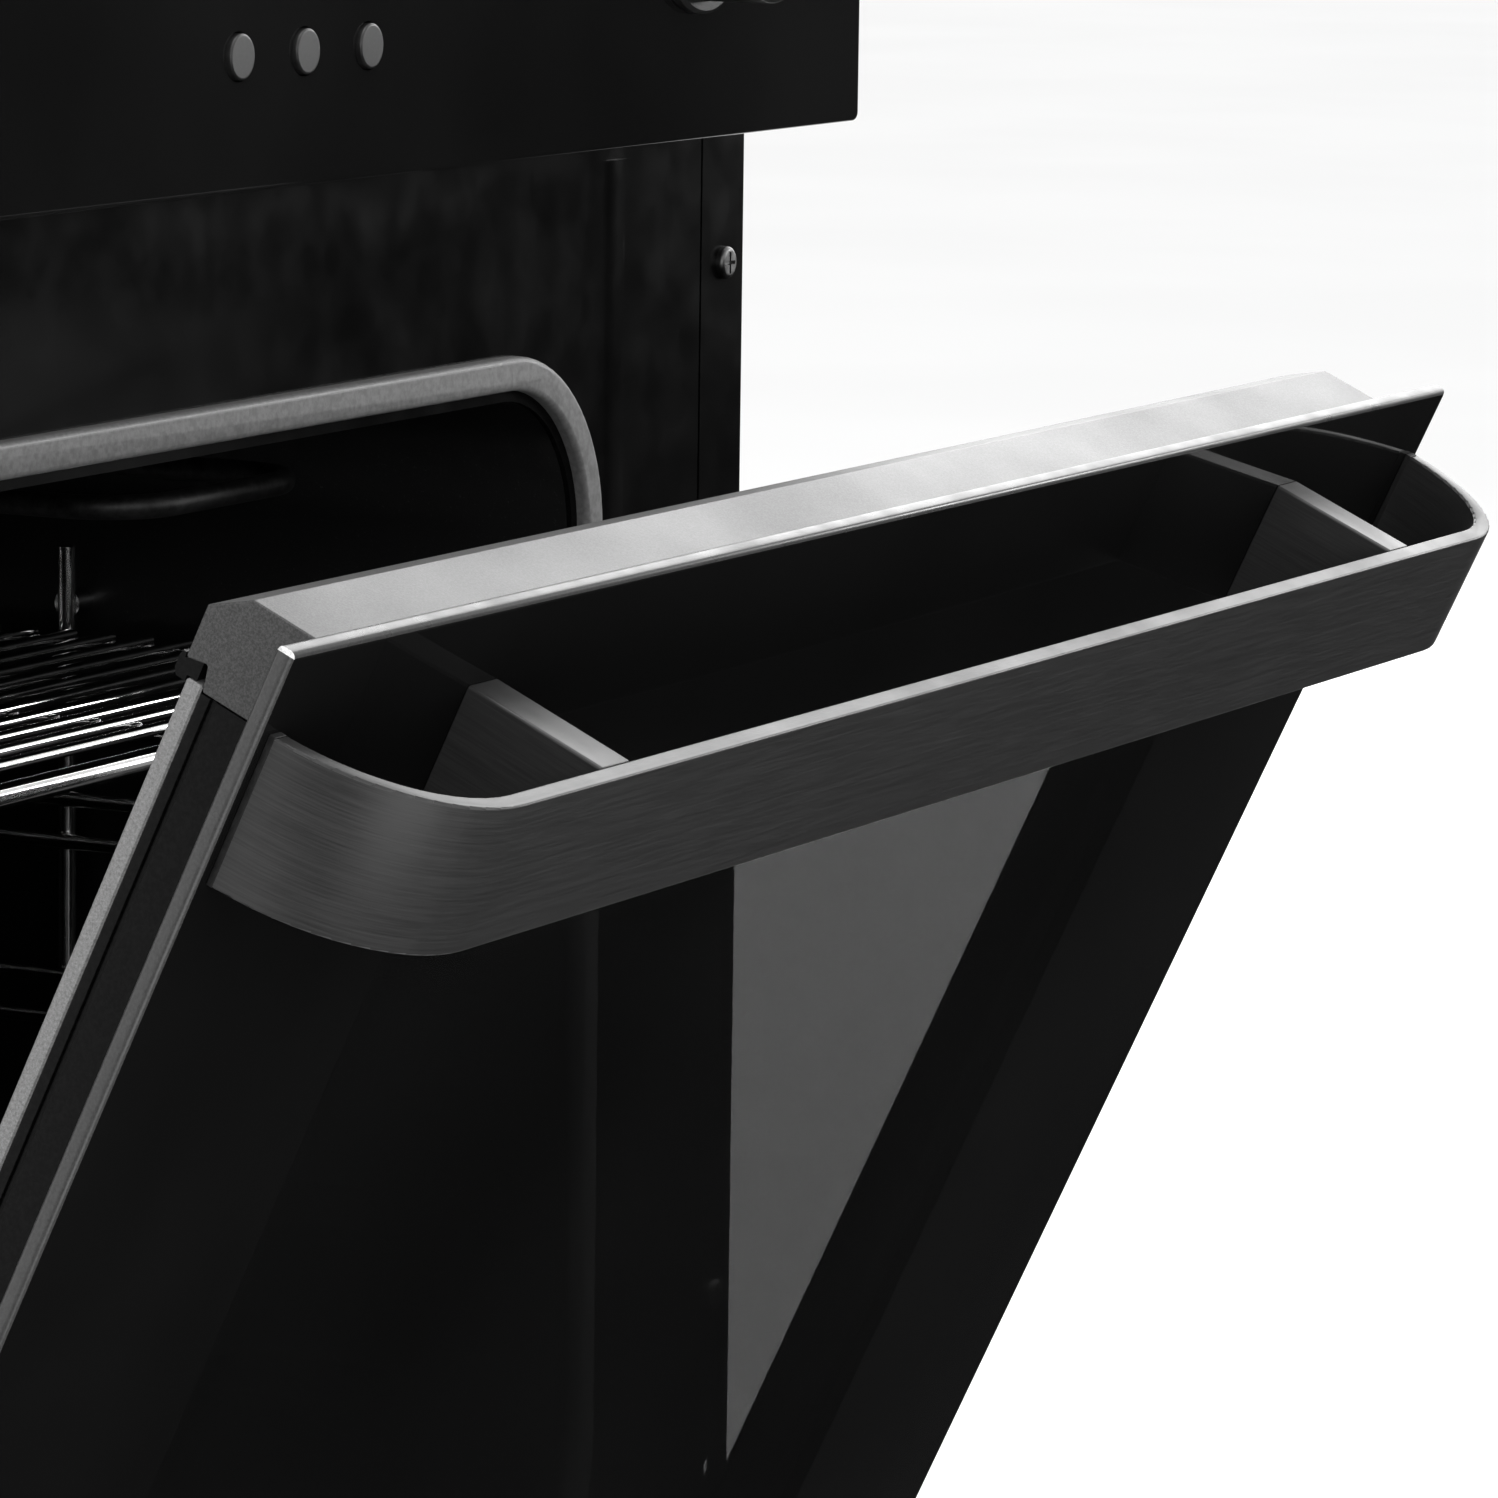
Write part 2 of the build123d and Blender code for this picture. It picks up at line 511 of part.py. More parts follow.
def make_wire_shelf():
    z = LEVELS[-1] + SHELF_RISE
    frame_radius, wire_radius = 3.0, 1.6
    shelf = rod_x(-SHELF_HALF, SHELF_HALF, SHELF_FRONT, z, frame_radius)
    shelf += rod_x(-SHELF_HALF, SHELF_HALF, SHELF_BACK, z, frame_radius)
    for x in (-SHELF_HALF, SHELF_HALF):
        shelf += rod_y(SHELF_FRONT, SHELF_BACK, x, z, frame_radius)
        for y in (SHELF_FRONT, SHELF_BACK):
            shelf += Pos(x, y, z) * Sphere(frame_radius)
    for x in (-62, 62):
        shelf += rod_y(SHELF_FRONT, SHELF_BACK, x, z, 2.6)
    count = int((SHELF_BACK - SHELF_FRONT) / WIRE_PITCH)
    for i in range(1, count):
        y = SHELF_FRONT + i * WIRE_PITCH
        shelf += rod_x(-SHELF_HALF, SHELF_HALF, y, z + frame_radius + wire_radius - 0.8, wire_radius)
    shelf += rod_x(-150, 150, SHELF_BACK, z + 16, 2.2)
    for x in (-150, 0, 150):
        shelf += rod_z(z, z + 16, x, SHELF_BACK, 2.2)
    for x in (-150, 150):
        shelf += Pos(x, SHELF_BACK, z + 16) * Sphere(2.2)
    parts["wire_shelf"] = shelf


def make_cooling():
    parts["cooling_duct_plate"] = block(-270, 270, FRAME_BACK + 1, 152, 455, 456) - block(
        -110, 110, 80, 120, 450, 460
    )
    axis_y, axis_z = 105.0, 510.0
    case = block(-124, 110, 64, 146, 456, 556)
    case = fillet(case.edges().filter_by(Axis.X).sort_by(Axis.Y)[-2:], 20)
    room = block(-122.8, 108.8, 40, 144.8, 457.2, 554.8)
    case -= fillet(room.edges().filter_by(Axis.X).sort_by(Axis.Y)[-2:], 18.8)
    case -= block(-110, 100, 80, 120, 450, 460)
    case -= rod_x(100, 120, axis_y, axis_z, 30)
    parts["blower_housing"] = case
    wheel = rod_x(-118, -117, axis_y, axis_z, 28) + rod_x(98, 99, axis_y, axis_z, 28)
    wheel += rod_x(-10, -9, axis_y, axis_z, 28)
    blade = block(-118, 99, axis_y - 0.5, axis_y + 0.5, axis_z + 20, axis_z + 28)
    spin = Axis((0, axis_y, axis_z), (1, 0, 0))
    for i in range(20):
        wheel += blade.rotate(Axis((0, axis_y, axis_z + 24), (1, 0, 0)), 30).rotate(spin, 18 * i)
    wheel += rod_x(99, 150, axis_y, axis_z, 2.5) + rod_x(96, 104, axis_y, axis_z, 8)
    parts["blower_wheel"] = wheel
    motor = rod_x(110, 111.5, axis_y, axis_z, 36) + block(114, 152, 75, 135, 484, 536)
    motor += rod_x(110, 160, axis_y, axis_z, 14)
    motor -= rod_x(100, 151, axis_y, axis_z, 2.5 + PIN_PLAY)
    parts["blower_motor"] = motor

    terminal = block(170, 240, BODY_BACK, BODY_BACK + 20, 480, 524)
    for i in range(3):
        terminal -= block(176 + 20 * i, 192 + 20 * i, BODY_BACK + 8, BODY_BACK + 21, 484, 520)
        terminal += rod_y(BODY_BACK + 7, BODY_BACK + 14, 184 + 20 * i, 510, 4)
    parts["terminal_block"] = terminal


# control panel
def make_panel():
    low, high = PANEL_LOW, HEIGHT
    middle = (low + high) / 2
    back = PANEL_FACE + GLASS
    fascia = slab(WIDTH, high - low, 2.5, PANEL_FACE, back, middle)
    faces = fascia.faces().sort_by(Axis.Y)
    fascia = fillet(faces[0].edges(), 1.3)
    for x in (-KNOB_X, KNOB_X):
        fascia -= rod_y(PANEL_FACE - 1, back + 1, x, KNOB_Z, SPINDLE + 1)
    for i in (-1, 0, 1):
        fascia -= rod_y(PANEL_FACE - 1, back + 1, i * BUTTON_STEP, BUTTON_Z, BUTTON_RADIUS + 0.5)
    fascia -= slab(104, 30, 3, PANEL_FACE - 1, back + 1, 550)
    parts["control_fascia"] = fascia
    parts["display_window"] = slab(103.4, 29.4, 2.7, PANEL_FACE + 0.3, back, 550)

    housing = block(-290, 290, back, FRAME_FACE, low + 2, high - 2)
    housing -= block(-289, 289, back - 1, FRAME_FACE + 1, low + 3, high - 3)
    parts["control_housing"] = housing
    clock = block(-62, 62, back + 2.5, back + 26, 502, 572)
    for x in (-50, 50):
        clock += rod_y(back + 26, back + 30, x, 537, 4)
    parts["clock_module"] = clock
    for name, x in (("function_switch", -KNOB_X), ("thermostat", KNOB_X)):
        body = block(x - 22, x + 22, back + 2, back + 34, KNOB_Z - 22, KNOB_Z + 22)
        body = chamfer(body.edges().filter_by(Axis.Y), 4)
        for dx, dz in ring_of(4, 14, math.pi / 4):
            body += block(
                x + dx - 3, x + dx + 3, back + 34, back + 42, KNOB_Z + dz - 0.4, KNOB_Z + dz + 0.4
            )
        body -= rod_y(back + 1, back + 27, x, KNOB_Z, SPINDLE + PIN_PLAY)
        parts[name] = body


def make_controls():
    back = PANEL_FACE + GLASS
    for name, x in (("function", -KNOB_X), ("temperature", KNOB_X)):
        knob = rod_y(PANEL_FACE - 3.5, PANEL_FACE - 0.5, x, KNOB_Z, 23)
        knob = chamfer(knob.edges().sort_by(Axis.Y)[0], 1)
        grip = rod_y(PANEL_FACE - 24, PANEL_FACE - 3, x, KNOB_Z, 19.5)
        knob += fillet(grip.edges().sort_by(Axis.Y)[0], 1.5)
        knob -= rod_y(PANEL_FACE - 16, PANEL_FACE, x, KNOB_Z, SPINDLE)
        parts[name + "_knob"] = knob
        parts[name + "_spindle"] = rod_y(PANEL_FACE - 16, back + 26, x, KNOB_Z, SPINDLE)
    for i, name in ((-1, "minus_button"), (0, "clock_button"), (1, "plus_button")):
        x = i * BUTTON_STEP
        button = rod_y(PANEL_FACE - 1.3, back + 0.4, x, BUTTON_Z, BUTTON_RADIUS)
        button = fillet(button.edges().sort_by(Axis.Y)[0], 0.6)
        button += rod_y(back + 0.35, back + 1.1, x, BUTTON_Z, BUTTON_RADIUS + 2)
        parts[name] = button


DOOR_MAKERS = (make_outer_glass, make_inner_glasses, make_top_cap, make_columns, make_handle, make_hinges)
BODY_MAKERS = (
    make_hinge_arms,
    make_front_frame,
    make_shell,
    make_cavity,
    make_heaters,
    make_fan,
    make_lamp,
    make_shelf_ladders,
    make_wire_shelf,
    make_cooling,
    make_panel,
    make_controls,
)

for make in DOOR_MAKERS:
    make()
for name in list(parts):
    parts[name] = on_door(parts[name])
for make in BODY_MAKERS:
    make()

os.makedirs("parts", exist_ok=True)
for name, shape in parts.items():
    export_step(shape, f"parts/{name}.step")
print(len(parts), "nodes")
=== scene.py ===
import json
import math

import bmesh
import bpy
from mathutils import Matrix, Vector


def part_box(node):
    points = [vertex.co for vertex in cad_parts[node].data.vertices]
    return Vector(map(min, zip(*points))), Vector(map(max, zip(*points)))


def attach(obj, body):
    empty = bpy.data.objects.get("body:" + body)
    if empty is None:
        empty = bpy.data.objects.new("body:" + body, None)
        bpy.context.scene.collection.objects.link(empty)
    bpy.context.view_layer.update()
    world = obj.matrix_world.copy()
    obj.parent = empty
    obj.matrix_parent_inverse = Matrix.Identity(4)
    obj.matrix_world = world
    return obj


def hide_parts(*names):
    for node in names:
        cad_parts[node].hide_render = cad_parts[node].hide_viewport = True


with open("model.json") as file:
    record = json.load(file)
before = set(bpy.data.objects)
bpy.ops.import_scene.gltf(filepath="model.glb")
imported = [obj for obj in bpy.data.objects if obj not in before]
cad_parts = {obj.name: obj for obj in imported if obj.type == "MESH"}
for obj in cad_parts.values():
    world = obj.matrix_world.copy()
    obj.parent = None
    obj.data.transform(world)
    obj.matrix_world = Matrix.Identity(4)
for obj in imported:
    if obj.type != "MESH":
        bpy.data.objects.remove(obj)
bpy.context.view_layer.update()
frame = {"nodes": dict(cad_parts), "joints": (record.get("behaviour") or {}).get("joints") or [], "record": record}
nodes = frame["nodes"]
record = frame["record"]
bodyOf = {n: body for body, group in record["behaviour"]["bodies"].items() for n in group}
slotOf = {s["node"]: s["material_slot"] for s in record["subparts"]}
hinge = next(j for j in frame["joints"] if j["name"] == "door_hinge")
pivot = Vector(hinge["pos_m"])
doorTilt = math.radians(25)  # how far the door stands open at rest
glassLow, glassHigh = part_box("door_outer_glass")
print("frame loaded:", len(nodes), "nodes")


view = dict(
    lens=172.73, sensor=36.0, clipStart=0.05, yaw=62.84, pitch=8.76, roll=-0.78,
    glassRim=0.0017,  # the camera is placed from this far under the glass's highest point
    offset=Vector((-1.47478, -0.70315, 0.19402)),  # from the middle of the door glass's top edge
)


def addCamera():
    yaw, pitch, roll = (math.radians(view[k]) for k in ("yaw", "pitch", "roll"))
    forward = Vector((math.sin(yaw) * math.cos(pitch), math.cos(yaw) * math.cos(pitch), -math.sin(pitch)))
    level = Vector((math.cos(yaw), -math.sin(yaw), 0))
    down = forward.cross(level)
    across = math.cos(roll) * level + math.sin(roll) * down
    drop = -math.sin(roll) * level + math.cos(roll) * down
    data = bpy.data.cameras.new("camera")
    data.lens = view["lens"]
    data.sensor_width = view["sensor"]
    data.clip_start = view["clipStart"]
    camera = bpy.data.objects.new("camera", data)
    turn = Matrix((across, -drop, -forward)).transposed().to_4x4()
    topMiddle = Vector((0, glassLow.y, glassHigh.z - view["glassRim"]))
    camera.matrix_world = Matrix.Translation(topMiddle + view["offset"]) @ turn
    bpy.context.scene.collection.objects.link(camera)
    bpy.context.scene.camera = camera


lights = dict(
    skyHigh=1.0, skyLow=0.02,
    horizon=(-0.02, 0.01), back=(0.1, 0.3),  # where the pale part of the sky fades in, by height and behind
    softboxes=[
        # name, place, aimed at, width, height, power
        ("rightBox", (2.65, 0.12, 1.65), (0.0, -0.48, 0.43), 2.2, 1.7, 44),
        ("topBox", (-0.2, -0.7, 2.6), (0.0, -0.35, 0.3), 1.6, 1.6, 20),
        ("frontBox", (-1.2, -1.9, 0.55), (0.0, -0.3, 0.35), 0.9, 1.0, 7),
        ("sideBox", (2.4, -1.55, 0.85), (0.0, -0.2, 0.34), 0.9, 0.6, 16),
        ("lowBox", (-0.5, -1.0, 0.03), (-0.26, -0.5, 0.38), 0.5, 0.4, 1.4),
    ],
)


def addSoftbox(name, place, aim, width, height, power):
    data = bpy.data.lights.new(name, "AREA")
    data.shape = "RECTANGLE"
    data.size, data.size_y = width, height
    data.energy = power
    light = bpy.data.objects.new(name, data)
    look = (Vector(aim) - Vector(place)).to_track_quat("-Z", "Y")
    light.matrix_world = Matrix.Translation(place) @ look.to_matrix().to_4x4()
    light.visible_camera = False
    bpy.context.scene.collection.objects.link(light)


def addWorld():
    world = bpy.data.worlds.new("studio")
    bpy.context.scene.world = world
    world.use_nodes = True
    tree = world.node_tree
    background = tree.nodes["Background"]
    place = tree.nodes.new("ShaderNodeTexCoord")
    split = tree.nodes.new("ShaderNodeSeparateXYZ")
    link(tree, place.outputs["Generated"], split.inputs[0])
    # pale all round and above, dark low in front of the oven
    above = spread(tree, split.outputs["Z"], 0, 1, *lights["horizon"])
    behind = spread(tree, split.outputs["Y"], 0, 1, *lights["back"])
    either = tree.nodes.new("ShaderNodeMath")
    either.operation = "MAXIMUM"
    link(tree, above, either.inputs[0])
    link(tree, behind, either.inputs[1])
    brightness = spread(tree, either.outputs[0], lights["skyLow"], lights["skyHigh"], 0, 1)
    link(tree, brightness, background.inputs["Color"])


def link(tree, a, b):
    tree.links.new(a, b)


def newMaterial(name, **sockets):
    mat = bpy.data.materials.new(name)
    mat.use_nodes = True
    shader = mat.node_tree.nodes["Principled BSDF"]
    for key, value in sockets.items():
        shader.inputs[key.replace("_", " ")].default_value = value
    return mat, mat.node_tree, shader


def coords(tree, scale=(1, 1, 1), onDoor=False):
    place = tree.nodes.new("ShaderNodeTexCoord")
    here = place.outputs["Object"]
    if onDoor:  # x along the door, y behind its face, z up the door, from the hinge axis
        local = tree.nodes.new("ShaderNodeMapping")
        local.vector_type = "TEXTURE"
        local.inputs["Location"].default_value = pivot
        local.inputs["Rotation"].default_value = (doorTilt, 0, 0)
        link(tree, here, local.inputs["Vector"])
        here = local.outputs[0]
    stretch = tree.nodes.new("ShaderNodeMapping")
    stretch.inputs["Scale"].default_value = scale
    link(tree, here, stretch.inputs["Vector"])
    return stretch.outputs[0]


def noise(tree, where, scale, detail=3.0, rough=0.5):
    node = tree.nodes.new("ShaderNodeTexNoise")
    node.inputs["Scale"].default_value = scale
    node.inputs["Detail"].default_value = detail
    node.inputs["Roughness"].default_value = rough
    link(tree, where, node.inputs["Vector"])
    return node.outputs["Fac"]


def spread(tree, fac, low, high, fromLow=0.3, fromHigh=0.7):
    node = tree.nodes.new("ShaderNodeMapRange")
    node.inputs["From Min"].default_value = fromLow
    node.inputs["From Max"].default_value = fromHigh
    node.inputs["To Min"].default_value = low
    node.inputs["To Max"].default_value = high
    link(tree, fac, node.inputs["Value"])
    return node.outputs["Result"]


def tint(tree, fac, dark, light, lowStop=0.35, highStop=0.65):
    node = tree.nodes.new("ShaderNodeValToRGB")
    node.color_ramp.elements[0].position = lowStop
    node.color_ramp.elements[0].color = (*dark, 1)
    node.color_ramp.elements[1].position = highStop
    node.color_ramp.elements[1].color = (*light, 1)
    link(tree, fac, node.inputs[0])
    return node.outputs[0]


def relief(tree, shader, height, strength, distance):
    node = tree.nodes.new("ShaderNodeBump")
    node.inputs["Strength"].default_value = strength
    node.inputs["Distance"].default_value = distance
    link(tree, height, node.inputs["Height"])
    link(tree, node.outputs[0], shader.inputs["Normal"])


def grey(value):
    return (value, value, value)


def brushedMetal(name, dark, light, rough, onDoor=True, along=(50, 50, 2200), grain=0.1, metal=0.45):
    mat, tree, shader = newMaterial(name, Metallic=metal, Anisotropic=0.3)
    lines = noise(tree, coords(tree, along, onDoor), 1.0, 5.0, 0.65)
    cloud = noise(tree, coords(tree, (6, 6, 6), onDoor), 3.0, 3.0)
    link(tree, tint(tree, lines, grey(dark), grey(light), 0.25, 0.75), shader.inputs["Base Color"])
    blend = tree.nodes.new("ShaderNodeMath")
    blend.operation = "ADD"
    link(tree, spread(tree, lines, -0.05, 0.07), blend.inputs[0])
    link(tree, spread(tree, cloud, rough - 0.02, rough + 0.03), blend.inputs[1])
    link(tree, blend.outputs[0], shader.inputs["Roughness"])
    relief(tree, shader, lines, grain, 0.0002)
    return mat


def speckledPlastic(name, dark, light, rough, scale=2200, bump=0.25, onDoor=False, shine=0.5):
    mat, tree, shader = newMaterial(name, Specular_IOR_Level=shine)
    grains = noise(tree, coords(tree, (1, 1, 1), onDoor), scale, 2.0, 0.7)
    cloud = noise(tree, coords(tree, (1, 1, 1), onDoor), 18, 3.0)
    link(tree, tint(tree, grains, grey(dark), grey(light), 0.38, 0.68), shader.inputs["Base Color"])
    link(tree, spread(tree, cloud, rough - 0.05, rough + 0.05), shader.inputs["Roughness"])
    relief(tree, shader, grains, bump, 0.00012)
    return mat


def enamel(name, dark, light, rough, fleck=0.0, coat=0.1, shine=0.5):
    mat, tree, shader = newMaterial(name, Coat_Weight=coat, Coat_Roughness=0.12, Specular_IOR_Level=shine)
    flecks = noise(tree, coords(tree), 900, 2.0, 0.8)
    waves = noise(tree, coords(tree), 60, 3.0)
    shade = tint(tree, flecks, grey(dark), grey(light), 0.55 - fleck, 0.75 - fleck)
    link(tree, shade, shader.inputs["Base Color"])
    link(tree, spread(tree, waves, rough - 0.03, rough + 0.05), shader.inputs["Roughness"])
    relief(tree, shader, waves, 0.05, 0.0006)
    return mat


def zincSheet(name):
    mat, tree, shader = newMaterial(name, Metallic=0.9)
    cells = tree.nodes.new("ShaderNodeTexVoronoi")
    cells.inputs["Scale"].default_value = 120
    warp = noise(tree, coords(tree), 9, 4.0)
    link(tree, coords(tree), cells.inputs["Vector"])
    shade = tint(tree, cells.outputs["Color"], grey(0.34), grey(0.5), 0.1, 0.9)
    link(tree, shade, shader.inputs["Base Color"])
    link(tree, spread(tree, warp, 0.3, 0.5), shader.inputs["Roughness"])
    relief(tree, shader, warp, 0.03, 0.0004)
    return mat


def plainSteel(name, dark, light, rough, scale=(300, 300, 300)):
    mat, tree, shader = newMaterial(name, Metallic=1.0)
    marks = noise(tree, coords(tree, scale), 1.0, 4.0, 0.7)
    link(tree, tint(tree, marks, grey(dark), grey(light)), shader.inputs["Base Color"])
    link(tree, spread(tree, marks, rough - 0.04, rough + 0.08), shader.inputs["Roughness"])
    relief(tree, shader, marks, 0.06, 0.0001)
    return mat


def chrome(name):
    mat, tree, shader = newMaterial(name, Metallic=1.0)
    haze = noise(tree, coords(tree), 120, 3.0)
    link(tree, tint(tree, haze, grey(0.62), grey(0.8)), shader.inputs["Base Color"])
    link(tree, spread(tree, haze, 0.05, 0.14), shader.inputs["Roughness"])
    return mat


def rubber(name, dark, light, rough=0.6, weave=0.0):
    mat, tree, shader = newMaterial(name)
    fine = noise(tree, coords(tree), 700, 3.0)
    link(tree, tint(tree, fine, grey(dark), grey(light)), shader.inputs["Base Color"])
    link(tree, spread(tree, fine, rough - 0.05, rough + 0.08), shader.inputs["Roughness"])
    relief(tree, shader, fine, 0.15 + weave, 0.0002)
    return mat


def groundEdge(name, dark, light, rough, grain):
    mat, tree, shader = newMaterial(name, Specular_IOR_Level=0.5)
    grit = noise(tree, coords(tree), 1500, 3.0, 0.8)
    stripe = noise(tree, coords(tree, (40, 40, 40)), 2.0, 2.0)
    link(tree, tint(tree, grit, grey(dark), grey(light), 0.3, 0.75), shader.inputs["Base Color"])
    link(tree, spread(tree, stripe, rough - 0.05, rough + 0.1), shader.inputs["Roughness"])
    relief(tree, shader, grit, grain, 0.0001)
    return mat


def windowMask(tree, half, low, high, corner):
    where = coords(tree, (1, 1, 1), True)
    shift = tree.nodes.new("ShaderNodeVectorMath")
    shift.operation = "SUBTRACT"
    shift.inputs[1].default_value = (0, 0, (low + high) / 2)
    size = tree.nodes.new("ShaderNodeVectorMath")
    size.operation = "ABSOLUTE"
    past = tree.nodes.new("ShaderNodeVectorMath")
    past.operation = "SUBTRACT"
    past.inputs[1].default_value = (half - corner, 10, (high - low) / 2 - corner)
    keep = tree.nodes.new("ShaderNodeVectorMath")
    keep.operation = "MAXIMUM"
    keep.inputs[1].default_value = (0, 0, 0)
    length = tree.nodes.new("ShaderNodeVectorMath")
    length.operation = "LENGTH"
    link(tree, where, shift.inputs[0])
    link(tree, shift.outputs[0], size.inputs[0])
    link(tree, size.outputs[0], past.inputs[0])
    link(tree, past.outputs[0], keep.inputs[0])
    link(tree, keep.outputs[0], length.inputs[0])
    inside = tree.nodes.new("ShaderNodeMath")
    inside.operation = "LESS_THAN"
    inside.inputs[1].default_value = corner
    link(tree, length.outputs["Value"], inside.inputs[0])
    return inside.outputs[0]


doorGlass = dict(
    windowHalf=0.200, windowLow=0.052, windowHigh=0.352, windowCorner=0.012,
    innerHalf=0.226, innerLow=0.040, innerHigh=0.366,
    outerCover=0.7, middleCover=0.14, innerCover=0.18,  # how much each face holds back in the window
    outerInk=0.003, outerShine=0.05, innerInk=0.006, innerShine=0.4,
)


def printedGlass(name, half, low, high, cover, ink, shine):
    mat, tree, shader = newMaterial(name, Specular_IOR_Level=shine)
    wipe = noise(tree, coords(tree), 9, 4.0)
    link(tree, tint(tree, wipe, grey(ink), grey(ink * 1.5)), shader.inputs["Base Color"])
    link(tree, spread(tree, wipe, 0.02, 0.05), shader.inputs["Roughness"])
    mask = windowMask(tree, half, low, high, doorGlass["windowCorner"])
    link(tree, spread(tree, mask, 1.0, cover, 0, 1), shader.inputs["Alpha"])
    return mat


def clearPane(name, cover):
    mat, tree, shader = newMaterial(name, Alpha=cover)
    haze = noise(tree, coords(tree), 12, 3.0)
    link(tree, tint(tree, haze, grey(0.004), grey(0.008)), shader.inputs["Base Color"])
    link(tree, spread(tree, haze, 0.01, 0.04), shader.inputs["Roughness"])
    return mat


def plainGlass(name, shade, rough=0.0):
    mat, tree, shader = newMaterial(name, Transmission_Weight=1.0, IOR=1.5)
    haze = noise(tree, coords(tree), 12, 3.0)
    link(tree, tint(tree, haze, grey(shade * 0.97), grey(shade)), shader.inputs["Base Color"])
    link(tree, spread(tree, haze, rough, rough + 0.02), shader.inputs["Roughness"])
    return mat


def panelGlass(name):
    mat, tree, shader = newMaterial(name, Specular_IOR_Level=0.3)
    wipe = noise(tree, coords(tree), 9, 4.0)
    link(tree, tint(tree, wipe, grey(0.004), grey(0.007)), shader.inputs["Base Color"])
    link(tree, spread(tree, wipe, 0.03, 0.06), shader.inputs["Roughness"])
    return mat


def woolBlanket(name):
    mat, tree, shader = newMaterial(name, Roughness=0.95, Sheen_Weight=0.3)
    fibres = noise(tree, coords(tree, (1, 1, 4)), 220, 6.0, 0.75)
    link(tree, tint(tree, fibres, (0.5, 0.42, 0.18), (0.8, 0.72, 0.42)), shader.inputs["Base Color"])
    relief(tree, shader, fibres, 0.8, 0.003)
    return mat


materials = {
    "black_glass": panelGlass("panelGlass"),
    "clear_glass": clearPane("middlePane", doorGlass["middleCover"]),
    "cap_trim": speckledPlastic("capTrim", 0.028, 0.075, 0.4, onDoor=True),
    "black_profile": speckledPlastic(
        "blackProfile", 0.003, 0.007, 0.34, scale=1200, bump=0.08, shine=0.1
    ),
    "handle_metal": brushedMetal("handleMetal", 0.03, 0.058, 0.36),
    "rubber_pad": rubber("rubberPad", 0.004, 0.01),
    "zinc_steel": zincSheet("zincSheet"),
    "bright_steel": plainSteel("brightSteel", 0.45, 0.62, 0.24),
    "motor_steel": plainSteel("motorSteel", 0.16, 0.3, 0.4, (40, 900, 40)),
    "black_enamel": enamel("frameEnamel", 0.002, 0.004, 0.2, coat=0.0, shine=0.1),
    "cavity_enamel": enamel("cavityEnamel", 0.005, 0.07, 0.38, fleck=-0.08),
    "seal_rubber": rubber("sealRubber", 0.13, 0.19, 0.42, weave=0.1),
    "wool": woolBlanket("glassWool"),
    "heater_sheath": plainSteel("heaterSheath", 0.05, 0.1, 0.5),
    "chrome_wire": chrome("chromeWire"),
    "lamp_glass": plainGlass("lampGlass", 0.92, 0.02),
    "pale_plastic": speckledPlastic("palePlastic", 0.55, 0.68, 0.5, scale=900, bump=0.1),
    "display_glass": plainGlass("displayGlass", 0.12),
    "knob_metal": brushedMetal("knobMetal", 0.05, 0.1, 0.32, onDoor=False, along=(1500, 40, 1500), metal=0.8),
    "button_plastic": speckledPlastic("buttonPlastic", 0.012, 0.02, 0.3, scale=900, bump=0.05),
}
outerPane = printedGlass(
    "outerPane", doorGlass["windowHalf"], doorGlass["windowLow"], doorGlass["windowHigh"],
    doorGlass["outerCover"], doorGlass["outerInk"], doorGlass["outerShine"],
)
innerPane = printedGlass(
    "innerPane", doorGlass["innerHalf"], doorGlass["innerLow"], doorGlass["innerHigh"],
    doorGlass["innerCover"], doorGlass["innerInk"], doorGlass["innerShine"],
)
outerEdge = groundEdge("polishedEdge", 0.03, 0.06, 0.3, 0.1)
innerEdge = groundEdge("groundEdge", 0.14, 0.36, 0.45, 0.5)
screwSteel = plainSteel("screwSteel", 0.1, 0.19, 0.38)
cornerGrind = groundEdge("cornerGrind", 0.45, 0.95, 0.35, 0.8)
print("materials made:", len(materials) + 6)


finish = dict(sharpAngle=32, flatAngle=0.4, weld=0.000003, bevelWidth=0.00025, bevelSteps=2)


def newPiece(name, bm, body, material, cadNodes=()):
    mesh = bpy.data.meshes.new(name)
    bm.to_mesh(mesh)
    bm.free()
    piece = bpy.data.objects.new(name, mesh)
    bpy.context.scene.collection.objects.link(piece)
    for mat in material if isinstance(material, (list, tuple)) else [material]:
        mesh.materials.append(mat)
    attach(piece, body)
    if cadNodes:
        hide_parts(*cadNodes)
    return piece


def mergedCopy(node):
    bm = bmesh.new()
    bm.from_mesh(nodes[node].data)
    bmesh.ops.remove_doubles(bm, verts=bm.verts, dist=finish["weld"])
    flat = math.radians(finish["flatAngle"])
    bmesh.ops.dissolve_limit(bm, angle_limit=flat, verts=bm.verts, edges=bm.edges)
    return bm


def softenEdges(bm):
    sharp = math.radians(finish["sharpAngle"])
    for face in bm.faces:
        face.smooth = True
    for edge in bm.edges:
        edge.smooth = len(edge.link_faces) == 2 and edge.calc_face_angle(0) < sharp


def addBevel(piece, width):
    bevel = piece.modifiers.new("edges", "BEVEL")
    bevel.width = width
    bevel.segments = finish["bevelSteps"]
    bevel.limit_method = "ANGLE"
    bevel.angle_limit = math.radians(finish["sharpAngle"])
    bevel.harden_normals = True


def refined(node, name, width=None, material=None):
    bm = mergedCopy(node)
    softenEdges(bm)
    piece = newPiece(name, bm, bodyOf[node], material or materials[slotOf[node]], [node])
    if width:
        addBevel(piece, width)
    return piece


doorOut = Vector((0, -math.cos(doorTilt), -math.sin(doorTilt)))


